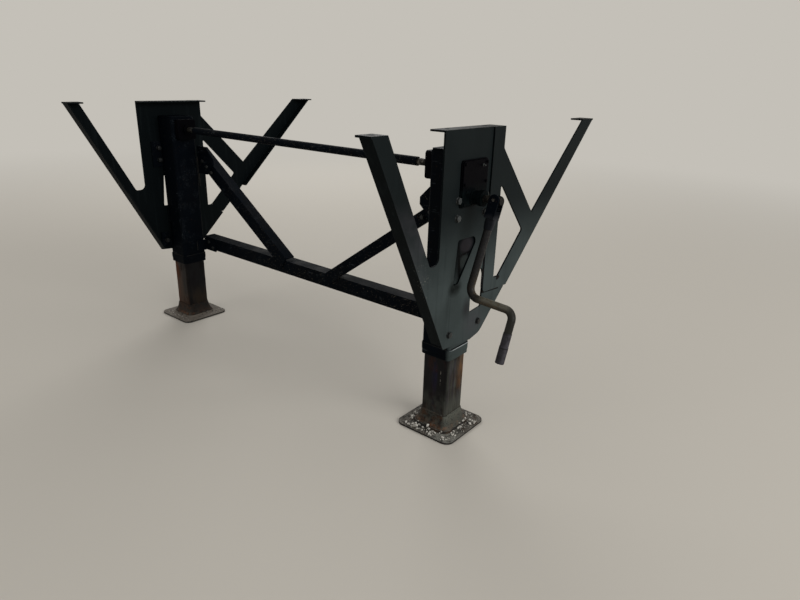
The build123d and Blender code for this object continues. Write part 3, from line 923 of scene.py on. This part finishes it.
finishes = {
    "bracket_paint": makeBracketEnamel(),
    "black_paint": makeChassisEnamel(),
    "gearbox_paint": makeGearboxPaint(),
    "worn_tube": makeWornTube(),
    "foot_casting": makeFootCasting(),
    "shoe_plate": makeShoePlate(),
    "bare_steel": makeShaftSteel(),
    "crank_steel": makeCrankSteel(),
    "crank_grip": makeGripPlastic(),
}
for subpart in frame["record"]["subparts"]:
    for holder in nodes[subpart["node"]].material_slots:
        holder.material = finishes[subpart["material_slot"]]
print("finishes made:", len(finishes))


# Hardware, welds and dirt, each a mesh of its own, all measured in millimetres

gear = {
    "legMiddle": 850,         # off the middle between the legs
    "panelFace": 919.85,      # the bracket panel's outer face, likewise
}


def finishPiece(shape, name, body, material, smooth=30):
    # writes the bmesh to an object at the origin, smooth up to an angle in degrees
    bmesh.ops.recalc_face_normals(shape, faces=shape.faces)
    mesh = bpy.data.meshes.new(name)
    shape.to_mesh(mesh)
    shape.free()
    mesh.materials.append(material)
    mesh.shade_smooth()
    mesh.set_sharp_from_angle(angle=radians(smooth))
    piece = bpy.data.objects.new(name, mesh)
    bpy.context.scene.collection.objects.link(piece)
    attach(piece, body)


def towards(place, direction, spin=0.0):
    # matrix that stands a shape's Z along a direction, at a place given in millimetres
    turn = Vector(direction).to_track_quat("Z", "Y").to_matrix().to_4x4()
    return Matrix.Translation(Vector(place) / 1000) @ turn @ Matrix.Rotation(radians(spin), 4, "Z")


def addDisc(shape, radius, low, high, at, corners=28, topRadius=None, bevel=0.0):
    # round or many-sided block between two heights over at
    made = bmesh.ops.create_cone(
        shape, cap_ends=True, segments=corners, radius1=radius / 1000, radius2=(topRadius or radius) / 1000,
        depth=(high - low) / 1000, matrix=at @ Matrix.Translation((0, 0, (high + low) / 2000)))
    if bevel:
        back = at.inverted()
        rim = dict.fromkeys(        # each edge once, in the same order every time
            edge for vert in made["verts"] for edge in vert.link_edges
            if all((back @ end.co).z > high / 1000 - 1e-6 for end in edge.verts))
        bmesh.ops.bevel(
            shape, geom=list(rim), offset=bevel / 1000, segments=2, profile=0.5, affect="EDGES", material=-1)


boltSizes = {
    "across": 21.0,       # M14 flange bolt, across flats
    "bevel": 1.4,
    "headHeight": 8.0,
    "nutHeight": 12.0,
    "flangeRadius": 12.6,
    "flangeTaper": 1.2,
    "flangeHeight": 2.2,
    "shankRadius": 7.0,
    "shankTip": 5.0,
    "shankBevel": 0.8,
}


def addHexagon(shape, at, height, scale):
    # hexagon of a height standing on its round flange; gives how high its top is
    size = boltSizes
    radius = size["flangeRadius"] * scale
    flange = size["flangeHeight"] * scale
    top = flange + height * scale
    corner = size["across"] / 2 / cos(pi / 6) * scale
    addDisc(shape, radius, 0, flange, at, 28, radius - size["flangeTaper"])
    addDisc(shape, corner, flange - 0.3, top, at, 6, bevel=size["bevel"] * scale)
    return top


def addBoltHead(shape, place, direction, spin=0.0, scale=1.0):
    addHexagon(shape, towards(place, direction, spin), boltSizes["headHeight"], scale)


def addNut(shape, place, direction, spin=0.0, scale=1.0):
    # with the bolt's end standing out of it
    size = boltSizes
    at = towards(place, direction, spin)
    top = addHexagon(shape, at, size["nutHeight"], scale)
    addDisc(
        shape, size["shankRadius"] * scale, top - 0.5, top + size["shankTip"] * scale, at, 20,
        bevel=size["shankBevel"])


legBolts = {
    "back": 907.15,                     # back of the ears, off the middle between the legs
    "places": [                         # X, Z and turn of each head in degrees
        (-77, -227, 12), (-77, -286, 41), (90, -227, 25), (90, -286, 3),
        (-85, -704, 18), (102, -705, 50)],
}


def addLegBolts():
    for side, sign in sides.items():
        shape = bmesh.new()
        for x, z, spin in legBolts["places"]:
            addBoltHead(shape, (x, sign * gear["panelFace"], z), (0, sign, 0), spin)
            addNut(shape, (x, sign * legBolts["back"], z), (0, -sign, 0), spin + 20)
        finishPiece(shape, "legBolts_" + side, "frame", zincFlake)


zincFlake = makeBoltZinc()
addLegBolts()
print("leg bolts fitted")


braceBolts = {
    "clipFace": 69.65,                  # front face of the lower clips
    "beamBack": 82.35,
    "clipPlaces": [(756, -716, 8), (722, -742, 33)],    # off the middle, Z and turn in degrees
    "gussetFace": 63.3,
    "gussetBack": 76.0,
    "gussetAlong": [672, 708, 744],     # off the middle, along each diagonal
    "diagonalLeg": {"near": 50.8, "far": 63.5},         # height of the front leg of each diagonal
    "diagonalFoot": (260, -664),        # off the middle, and Z
    "diagonalSlope": 35,
    "scale": 0.72,
}


def diagonalMiddle(y, side):
    # height of the middle of a diagonal's front leg
    rise = radians(braceBolts["diagonalSlope"])
    footY, footZ = braceBolts["diagonalFoot"]
    return footZ + (y - footY) * sin(rise) / cos(rise) + braceBolts["diagonalLeg"][side] / 2 / cos(rise)


def addBraceBolts():
    size = braceBolts
    scale = size["scale"]
    shape = bmesh.new()
    for side, sign in sides.items():
        for y, z, spin in size["clipPlaces"]:
            addBoltHead(shape, (size["clipFace"], sign * y, z), (-1, 0, 0), spin, scale)
            addNut(shape, (size["beamBack"], sign * y, z), (1, 0, 0), spin, scale)
        for count, y in enumerate(size["gussetAlong"]):
            z = diagonalMiddle(y, side)
            addBoltHead(shape, (size["gussetFace"], sign * y, z), (-1, 0, 0), 17 * count, scale)
            addNut(shape, (size["gussetBack"], sign * y, z), (1, 0, 0), 40 * count, scale)
    finishPiece(shape, "braceBolts", "frame", zincFlake)


addBraceBolts()
print("brace bolts fitted")


gearboxFittings = {
    "coverPlate": 5.0,             # thickness of the cover's plate
    "screwInset": 9.5,             # from the cover's edges
    "screwScale": 0.42,
    "screwTurn": 23,               # degrees from one screw to the next
    "plug": (-42.8, -204.0),       # X and Z of the filler plug
    "plugRim": (8.5, -0.2, 3.4),   # radius and both heights over the cover
    "plugSquare": (4.25, 3.0, 6.2),
    "nipple": (44, -120),          # X and Z of the grease nipple
    "nippleDiscs": [(4.4, -0.2, 4.0, 4.4), (3.0, 4.0, 8.0, 2.2), (3.1, 8.0, 11.0, 2.4)],   # and top radius
}


def addGearboxFittings():
    size = gearboxFittings
    low, high = (corner * 1000 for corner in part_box("gear_cover"))
    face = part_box("gear_case")[0].y * 1000 - size["coverPlate"]
    inset = size["screwInset"]
    screws = bmesh.new()
    spin = 0
    for x in (low.x + inset, high.x - inset):
        for z in (low.z + inset, (low.z + high.z) / 2, high.z - inset):
            addBoltHead(screws, (x, face, z), (0, -1, 0), spin, size["screwScale"])
            spin += size["screwTurn"]
    x, z = size["plug"]
    at = towards((x, face, z), (0, -1, 0))
    addDisc(screws, *size["plugRim"], at, 28, bevel=0.9)
    addDisc(screws, *size["plugSquare"], at, 4, bevel=0.5)
    finishPiece(screws, "gearboxScrews", "frame", finishes["gearbox_paint"])
    nipple = bmesh.new()
    x, z = size["nipple"]
    at = towards((x, face, z), (0, -1, 0))
    for radius, low, high, top in size["nippleDiscs"]:
        addDisc(nipple, radius, low, high, at, 20, top)
    finishPiece(nipple, "greaseNipple", "frame", zincFlake)


addGearboxFittings()
print("gearbox screws, plug and grease nipple fitted")


weldSizes = {
    "leg": 5.0,
    "ripple": 3.6,
    "round": 0.7,         # radius of the bead as a share of its leg
    "swell": 1.22,
    "segments": 10,
}


def addWeld(shape, start, end, leg=weldSizes["leg"]):
    # rippled bead along a line: a round section drawn out ring by ring, each ring swelling or drawing in
    size = weldSizes
    start = Vector(start) / 1000
    end = Vector(end) / 1000
    length = (end - start).length
    steps = max(4, int(length * 1000 / size["ripple"]) * 2)
    step = (end - start) / steps
    at = Matrix.Translation(start) @ step.to_track_quat("Z", "Y").to_matrix().to_4x4()
    ring = bmesh.ops.create_circle(
        shape, cap_ends=True, segments=size["segments"],
        radius=leg / 1000 * size["round"], matrix=at)["verts"]
    edges = list(dict.fromkeys(edge for vert in ring for edge in vert.link_edges))
    middle = start.copy()
    for count in range(steps):
        grown = bmesh.ops.extrude_edge_only(shape, edges=edges)["geom"]
        ring = [part for part in grown if isinstance(part, bmesh.types.BMVert)]
        edges = [part for part in grown
                 if isinstance(part, bmesh.types.BMEdge) and all(vert in ring for vert in part.verts)]
        bmesh.ops.translate(shape, vec=step, verts=ring)
        middle = middle + step
        swell = size["swell"] if count % 2 == 0 else 1 / size["swell"]
        swell *= 1 + 0.03 * sin(count * 1.7)      # no two ripples quite alike
        bmesh.ops.scale(shape, vec=(swell, swell, swell), space=Matrix.Translation(-middle), verts=ring)
    bmesh.ops.contextual_create(shape, geom=edges)


tubeWelds = {
    "corner": 12.0,       # the tubes' rounded corners, left free
    "tubeHalf": 57.15,
    "hubTop": -1058.0,
    "outerHalf": 63.5,
    "collarTop": -778.0,
    "collarLeg": 4.0,
    "legInner": 786.5,    # inner face of the leg, off the middle
    "clipX": 17.5,
    "clipZ": (-757.5, -708.7),
    "gussetX": braceBolts["gussetFace"],
    "gussetZ": (-418, -266),
    "wingSeams": [        # X and Z of both ends, how far off the middle, and leg
        ((118, -593.5), (232, -603.5), gear["panelFace"], 7.0),
        ((115, -574), (115, -262), gear["panelFace"], 5.0),
        ((209, -563), (226, -556), 924, 8.0)],
}


def weldRound(shape, half, middleY, z, leg=weldSizes["leg"]):
    # a bead on each side of a square tube
    flat = half - tubeWelds["corner"]
    for x0, y0, x1, y1 in (
            (-flat, -half, flat, -half), (half, -flat, half, flat),
            (flat, half, -flat, half), (-half, flat, -half, -flat)):
        addWeld(shape, (x0, middleY + y0, z), (x1, middleY + y1, z), leg)


def addLegWelds():
    # round the top of each foot casting, where the sliding tube is welded into it
    for side, sign in sides.items():
        shape = bmesh.new()
        weldRound(shape, tubeWelds["tubeHalf"], sign * gear["legMiddle"], tubeWelds["hubTop"])
        finishPiece(shape, "footWelds_" + side, "leg_" + side, finishes["foot_casting"])


def addFrameWelds():
    # over the collar, up the clips and gussets on the leg, and along the wing's edges on the panel
    size = tubeWelds
    for side, sign in sides.items():
        shape = bmesh.new()
        weldRound(shape, size["outerHalf"], sign * gear["legMiddle"], size["collarTop"], size["collarLeg"])
        inner = sign * size["legInner"]
        for x, (low, high) in ((size["clipX"], size["clipZ"]), (size["gussetX"], size["gussetZ"])):
            addWeld(shape, (x, inner, low), (x, inner, high))
        for (x0, z0), (x1, z1), away, leg in size["wingSeams"]:
            addWeld(shape, (x0, sign * away, z0), (x1, sign * away, z1), leg)
        finishPiece(shape, "frameWelds_" + side, "frame", weldSkin)


weldSkin = makeWeldSkin()
addLegWelds()
addFrameWelds()
print("welds laid")


shoeDirt = {
    "stones": {"near": 330, "far": 90},
    "smallest": {"near": 4.0, "far": 2.5},
    "largest": {"near": 14.5, "far": 7.0},
    "crowding": 1.8,      # above 1, most stones are small
    "seed": {"near": 71, "far": 193},
    "plateTop": -1117.0,
    "stepTop": -1108.0,
    "reach": 118.0,       # how far out stones lie, and how far the shoe's corners let them
    "cornerReach": 205,
    "stepReach": 84.0,
    "hubReach": 80,       # none lie nearer to the hub
    "sunk": 0.28,         # how high a stone's middle lies, as a share of its width
    "flat": 0.75,
    "jagged": 0.5,
    "turn": 6.28,         # the most that a stone is turned and tilted, in radians
    "tilt": 1.2,
}


def wander(seed):
    # repeatable numbers from 0 to 1
    while True:
        seed = (seed * 16807) % 2147483647
        yield seed / 2147483647


def addShoeStones():
    # chips of gravel thrown up on each shoe
    size = shoeDirt
    for side, sign in sides.items():
        shape = bmesh.new()
        chance = wander(size["seed"][side])
        smallest, largest = size["smallest"][side], size["largest"][side]
        for stone in range(size["stones"][side]):
            x = (next(chance) * 2 - 1) * size["reach"]
            y = (next(chance) * 2 - 1) * size["reach"]
            far = max(abs(x), abs(y))
            if abs(x) + abs(y) > size["cornerReach"]:
                continue
            width = smallest + (largest - smallest) * next(chance) ** size["crowding"]
            if far < size["hubReach"]:
                continue
            z = size["stepTop"] if far < size["stepReach"] else size["plateTop"]
            squash = [0.7 + 0.5 * next(chance) for axis in range(3)]
            turn = Matrix.Rotation(next(chance) * size["turn"], 4, "Z")
            turn = turn @ Matrix.Rotation(next(chance) * size["tilt"], 4, "X")
            middle = Vector((x, sign * gear["legMiddle"] + y, z + width * size["sunk"]))
            at = Matrix.Translation(middle / 1000)
            chip = bmesh.ops.create_icosphere(
                shape, subdivisions=1, radius=width / 2000,
                matrix=at @ turn @ Matrix.Diagonal((squash[0], squash[1], squash[2] * size["flat"], 1.0)))
            for vert in chip["verts"]:
                vert.co += (vert.co - at.translation) * (next(chance) - 0.5) * size["jagged"]
        finishPiece(shape, "shoeStones_" + side, "leg_" + side, crushedStone, smooth=12)


crushedStone = makeCrushedStone()
addShoeStones()
print("stones laid on the shoes")
